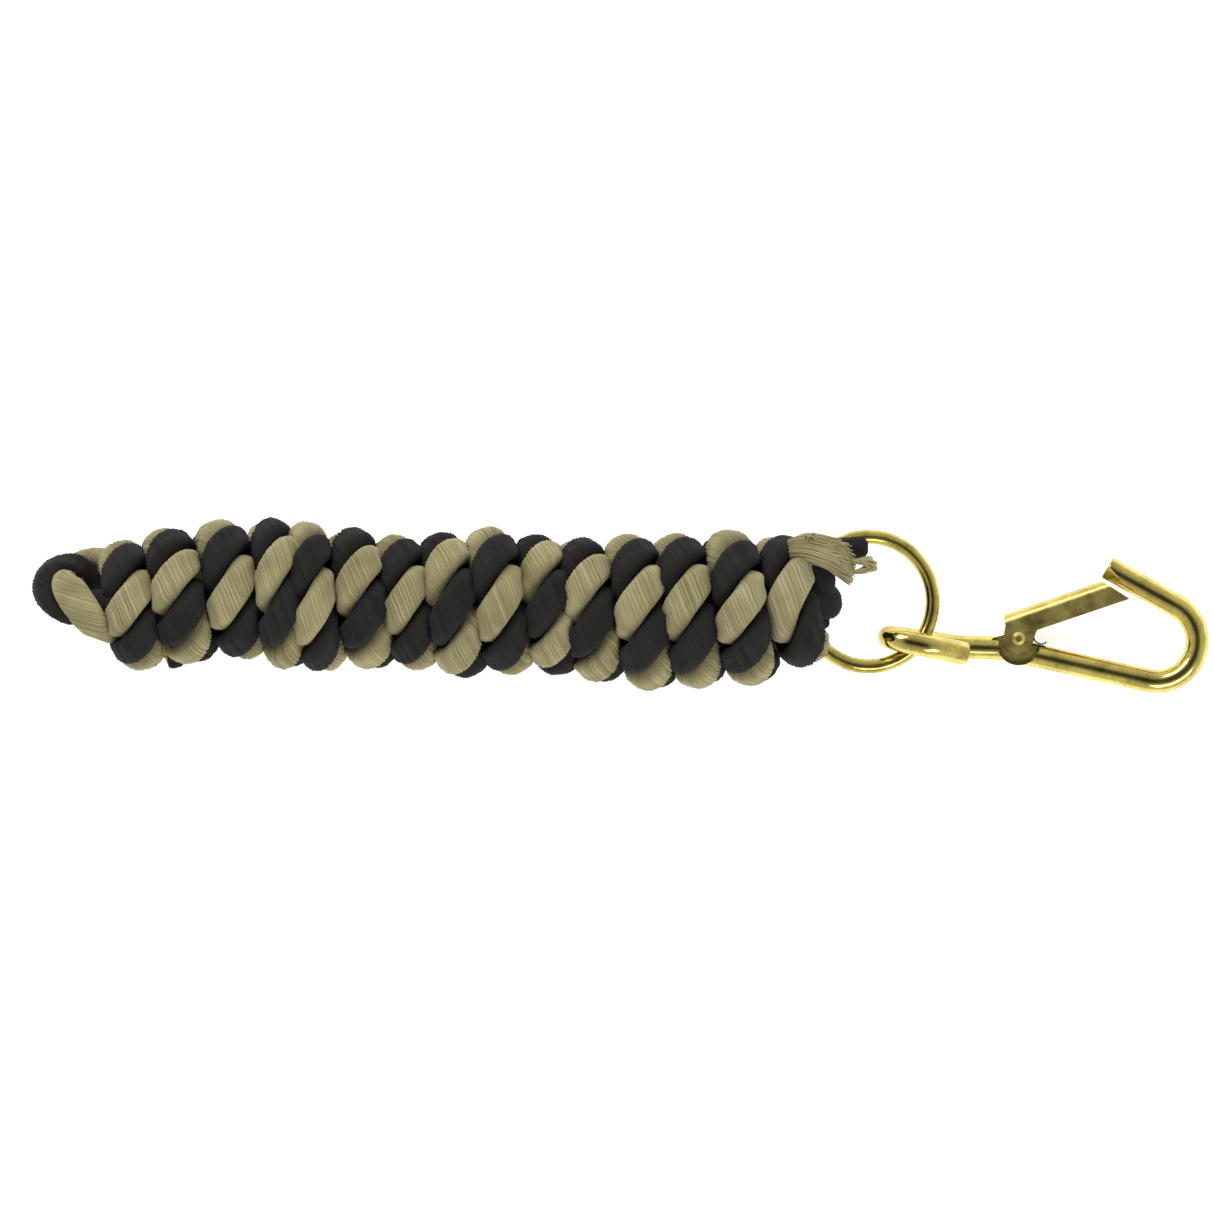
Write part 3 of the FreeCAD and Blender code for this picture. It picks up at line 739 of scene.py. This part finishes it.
def make_leaf_spring():
    centre, s, _ = spaced_line("leaf_route", [on_hook(u, v) for u, v in LEAF_ROUTE], LEAF_STEP)
    tangent = normalised(np.gradient(centre, axis=0))
    up = np.array(UP)
    out = np.cross(tangent, up)
    flat, side = LEAF_BEVEL, 1 - LEAF_BEVEL / 4
    corners = [(1, -side), (1, side), (flat, 1), (-flat, 1), (-1, side), (-1, -side), (-flat, -1), (flat, -1)]
    rings = [centre + out * (a * LEAF_HALF_T) + up * (b * LEAF_HALF_W) for a, b in corners]
    vertices = np.stack(rings, axis=1).reshape(-1, 3)
    around = len(corners)
    faces = tube_faces(len(s), around)
    faces += [list(range(around))[::-1], list(range(len(vertices) - around, len(vertices)))]
    return mesh_object("leaf_spring", vertices, faces)


leaf_spring = make_leaf_spring()


# ---- Materials ----------------------------------------------------------------------------------------
def set_ramp(node, stops):
    """Gives a colour ramp its stops, each a position and a colour."""
    elements = node.color_ramp.elements
    for element, (position, colour) in zip(elements, (stops[0], stops[-1])):
        element.position = position
        element.color = (*colour, 1)
    for position, colour in stops[1:-1]:
        elements.new(position).color = (*colour, 1)


class Graph:
    """A material's nodes, with short ways to make and join them."""

    def __init__(self, name):
        self.material = bpy.data.materials.new(name)
        self.material.use_nodes = True
        self.tree = self.material.node_tree
        self.shader = self.tree.nodes["Principled BSDF"]

    def node(self, kind, inputs=None, **settings):
        made = self.tree.nodes.new(kind)
        for key, value in settings.items():
            setattr(made, key, value)
        for key, value in (inputs or {}).items():
            self.set(made.inputs[key], value)
        return made

    def set(self, socket, value):
        if isinstance(value, bpy.types.NodeSocket):
            self.tree.links.new(value, socket)
        else:
            socket.default_value = value

    def math(self, operation, *values):
        made = self.tree.nodes.new("ShaderNodeMath")
        made.operation = operation
        for socket, value in zip(made.inputs, values):
            self.set(socket, value)
        return made.outputs[0]

    def noise(self, vector, scale, detail=2.0, roughness=0.5):
        made = self.node("ShaderNodeTexNoise",
                         {"Vector": vector, "Scale": scale, "Detail": detail, "Roughness": roughness})
        return made.outputs["Fac"]

    def ramp(self, value, stops):
        made = self.node("ShaderNodeValToRGB", {"Fac": value})
        set_ramp(made, stops)
        return made.outputs["Color"]

    def mix(self, share, a, b):
        """Two colours mixed. They are the node's inputs 6 and 7, and its output 2."""
        made = self.node("ShaderNodeMix", data_type="RGBA")
        self.set(made.inputs[0], share)
        self.set(made.inputs[6], a)
        self.set(made.inputs[7], b)
        return made.outputs[2]

    def scaled(self, vector, x, y, z):
        made = self.node("ShaderNodeMapping", {"Vector": vector, "Scale": (x, y, z)})
        return made.outputs["Vector"]

    def bump(self, height, strength, distance):
        made = self.node("ShaderNodeBump", {"Height": height, "Strength": strength, "Distance": distance})
        self.set(self.shader.inputs["Normal"], made.outputs["Normal"])


def cotton(name, crease_shade, dark, middle, light, sheen, sheen_colour):
    """Soft spun yarns: each one its own tone, with fine streaks along it, and painted shade in the grooves
    and at the seam.
    """
    g = Graph(name)
    yarn = g.node("ShaderNodeAttribute", attribute_name="yarn").outputs["Vector"]
    seam = g.node("ShaderNodeAttribute", attribute_name="seam").outputs["Fac"]
    parts = g.node("ShaderNodeSeparateXYZ", {"Vector": yarn}).outputs
    in_yarn = g.math("FRACT", parts["X"])
    crest = g.math("MULTIPLY", g.math("MULTIPLY", in_yarn, g.math("SUBTRACT", 1.0, in_yarn)), 4.0)
    number = g.math("FLOOR", parts["X"])
    cell = g.node("ShaderNodeCombineXYZ", {"X": number, "Y": parts["Z"], "Z": 0.0}).outputs[0]
    shade = g.node("ShaderNodeTexWhiteNoise", {"Vector": cell}, noise_dimensions="3D").outputs["Value"]
    streak = g.noise(g.scaled(yarn, 3.1, 120.0, 3.7), 1.0, 3.0, 0.6)
    spot = g.node("ShaderNodeTexCoord").outputs["Object"]
    patch = g.noise(spot, 70.0, 2.0)
    fibre = g.noise(spot, 2600.0, 2.0)
    tone = g.math("ADD", g.math("MULTIPLY", streak, 0.3), g.math("MULTIPLY", shade, 0.12))
    tone = g.math("ADD", tone, g.math("MULTIPLY", patch, 0.58))
    colour = g.ramp(tone, [(0.28, dark), (0.5, middle), (0.72, light)])
    other_cell = g.node("ShaderNodeCombineXYZ", {"X": number, "Y": parts["Z"], "Z": 7.5}).outputs[0]
    deep = g.node("ShaderNodeTexWhiteNoise", {"Vector": other_cell}, noise_dimensions="3D").outputs["Value"]
    # Painted shade: the grooves between yarns are darkened towards the crease colour, some grooves more than
    # others.
    in_groove = g.math("POWER", g.math("SUBTRACT", 1.0, crest), 1.5)
    in_groove = g.math("MULTIPLY", in_groove, g.math("ADD", 0.5, g.math("MULTIPLY", deep, deep)))
    # Painted shade along the seam, where the two strands press together.
    at_seam = g.math("POWER", g.math("MINIMUM", seam, 1.0), 3.0)
    shadow = g.math("MAXIMUM", g.math("MULTIPLY", in_groove, 0.8), g.math("MULTIPLY", at_seam, 0.6))
    g.set(g.shader.inputs["Base Color"], g.mix(shadow, colour, (*crease_shade, 1)))
    g.shader.inputs["Roughness"].default_value = 0.9
    g.shader.inputs["Specular IOR Level"].default_value = 0.2
    g.shader.inputs["Sheen Weight"].default_value = sheen
    g.shader.inputs["Sheen Roughness"].default_value = 0.45
    g.shader.inputs["Sheen Tint"].default_value = (*sheen_colour, 1)
    height = g.math("ADD", g.math("MULTIPLY", streak, 0.6), g.math("MULTIPLY", fibre, 0.4))
    g.bump(height, 0.45, 0.00025)
    return g.material


RECESS = (0.0075, 0.0095)  # distance from the rivet over which the brass goes from dull to bright
RECESS_DULL = 0.20         # roughness that it has there on top of its own


def polished(name, bright, deep, roughness, grain, recess=False):
    """Brass plate: warm, a little duller in patches, with fine grain and small dents. recess: duller
    round the rivet too, where no polishing wheel reaches."""
    g = Graph(name)
    spot = g.node("ShaderNodeTexCoord").outputs["Object"]
    patch = g.noise(spot, 120.0, 5.0, 0.6)
    fine = g.noise(spot, 900.0, 4.0, 0.6)
    tone = g.math("ADD", g.math("MULTIPLY", patch, 0.7), g.math("MULTIPLY", fine, 0.3))
    g.set(g.shader.inputs["Base Color"], g.ramp(tone, [(0.36, deep), (0.56, bright)]))
    g.shader.inputs["Metallic"].default_value = 1.0
    dull = g.math("ADD", roughness, g.math("MULTIPLY", g.math("SUBTRACT", patch, 0.5), 0.3))
    if recess:
        away = g.node("ShaderNodeVectorMath", {0: spot, 1: RIVET_AT}, operation="DISTANCE").outputs["Value"]
        near = g.node("ShaderNodeMapRange", {"Value": away, "From Min": RECESS[0], "From Max": RECESS[1],
                                             "To Min": RECESS_DULL, "To Max": 0.0}).outputs[0]
        dull = g.math("ADD", dull, near)
    g.set(g.shader.inputs["Roughness"], dull)
    g.bump(g.math("ADD", g.math("MULTIPLY", fine, 0.5), patch), grain, 0.0002)
    return g.material


# groove: the colour of the painted shade in the yarns' grooves and along the strands' seam.
CREAM = cotton("cream_cotton", crease_shade=(0.12, 0.092, 0.038), dark=(0.275, 0.24, 0.108),
               middle=(0.405, 0.362, 0.182), light=(0.56, 0.51, 0.29),
               sheen=0.16, sheen_colour=(1.0, 0.97, 0.80))
NAVY = cotton("navy_cotton", crease_shade=(0.015, 0.0147, 0.0130), dark=(0.018, 0.0176, 0.0155),
              middle=(0.0225, 0.0220, 0.0190), light=(0.028, 0.0275, 0.0250),
              sheen=0.05, sheen_colour=(0.25, 0.30, 0.80))
BRASS = polished("ring_brass", bright=(0.60, 0.50, 0.125), deep=(0.33, 0.255, 0.06),
                 roughness=0.13, grain=0.09)
HOOK_BRASS = polished("hook_brass", bright=(0.72, 0.60, 0.17), deep=(0.46, 0.36, 0.09),
                      roughness=0.12, grain=0.10, recess=True)
GATE_BRASS = polished("gate_brass", bright=(0.71, 0.58, 0.185), deep=(0.42, 0.32, 0.085),
                      roughness=0.35, grain=0.18)


def spring_steel():
    """Blued strip: dark, satin, browner in patches, with fine lines along it."""
    g = Graph("spring_steel")
    spot = g.node("ShaderNodeTexCoord").outputs["Object"]
    patch = g.noise(spot, 500.0, 4.0, 0.6)
    line = g.noise(g.scaled(spot, 300.0, 300.0, 4000.0), 1.0, 2.0)
    colour = g.ramp(patch, [(0.35, (0.05, 0.045, 0.04)), (0.65, (0.13, 0.11, 0.08))])
    g.set(g.shader.inputs["Base Color"], colour)
    g.shader.inputs["Metallic"].default_value = 1.0
    g.set(g.shader.inputs["Roughness"], g.math("ADD", 0.28, g.math("MULTIPLY", patch, 0.25)))
    g.bump(line, 0.2, 0.0001)
    return g.material


STEEL = spring_steel()


def finish_node(name, material):
    made = frame["nodes"][name]
    made.data.materials.clear()
    made.data.materials.append(material)


finish_node("ring", BRASS)
finish_node("hook_body", HOOK_BRASS)
for node in ("gate", "gate_rivet"):
    finish_node(node, GATE_BRASS)

cream_pieces = [cream_strand, cream_tail, cream_loops, stray_loops, left_tuft, cream_fuzz]
navy_pieces = [navy_strand, eye_strand, eye_leg, navy_tail, left_end, navy_fuzz]
for pieces, material, slot in ((cream_pieces, CREAM, "cream_cotton"), (navy_pieces, NAVY, "navy_cotton")):
    for piece in pieces:
        piece.data.materials.append(material)
        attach(piece, "rope")
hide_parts("hank_winding")
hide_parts("bight_loop")
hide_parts("ring_eye_loop")
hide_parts("cream_tail")
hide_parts("navy_tail")

leaf_spring.data.materials.append(STEEL)
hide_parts("gate_spring")
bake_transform(leaf_spring)


# ---- Floor, world and lights --------------------------------------------------------------------------
FLOOR_HALF = 3.0
FLOOR_DROP = 0.0004        # the floor lies this far under the object, so that no face coincides with it
# The world's grey level by how high over the horizon: dark straight above, so that brass has contrast.
WORLD_GREYS = [(0.0, 1.0), (0.50, 0.75), (0.86, 0.50), (0.98, 0.07)]
WORLD_STRENGTH = 0.9


def make_floor():
    corners = [(-FLOOR_HALF, -FLOOR_HALF, 0), (FLOOR_HALF, -FLOOR_HALF, 0),
               (FLOOR_HALF, FLOOR_HALF, 0), (-FLOOR_HALF, FLOOR_HALF, 0)]
    floor = mesh_object("floor", np.array(corners, float), [(0, 1, 2, 3)], smooth=False)
    floor.location.z = -FLOOR_DROP
    g = Graph("floor_white")
    g.shader.inputs["Base Color"].default_value = (0.9, 0.9, 0.9, 1)
    g.shader.inputs["Roughness"].default_value = 0.8
    g.shader.inputs["Emission Color"].default_value = (1, 1, 1, 1)
    g.shader.inputs["Emission Strength"].default_value = 0.7
    floor.data.materials.append(g.material)


def make_world():
    world = bpy.data.worlds.new("studio")
    bpy.context.scene.world = world
    world.use_nodes = True
    tree = world.node_tree
    place = tree.nodes.new("ShaderNodeTexCoord")
    parts = tree.nodes.new("ShaderNodeSeparateXYZ")
    ramp = tree.nodes.new("ShaderNodeValToRGB")
    set_ramp(ramp, [(height, (grey, grey, grey)) for height, grey in WORLD_GREYS])
    tree.links.new(place.outputs["Generated"], parts.inputs[0])
    tree.links.new(parts.outputs["Z"], ramp.inputs["Fac"])
    tree.links.new(ramp.outputs["Color"], tree.nodes["Background"].inputs["Color"])
    tree.nodes["Background"].inputs["Strength"].default_value = WORLD_STRENGTH


def make_light(name, place, size, energy):
    data = bpy.data.lights.new(name, "AREA")
    data.shape = "RECTANGLE"
    data.size, data.size_y = size
    data.energy = energy
    light = bpy.data.objects.new(name, data)
    bpy.context.scene.collection.objects.link(light)
    light.location = place
    light.rotation_euler = (-Vector(place)).to_track_quat("-Z", "Y").to_euler()


bpy.context.scene.view_settings.view_transform = "Standard"
make_floor()
make_world()
make_light("key", place=(-0.5, 0.9, 1.1), size=(1.0, 0.5), energy=9.0)
make_light("fill", place=(0.6, -0.9, 0.9), size=(1.0, 0.4), energy=5.0)
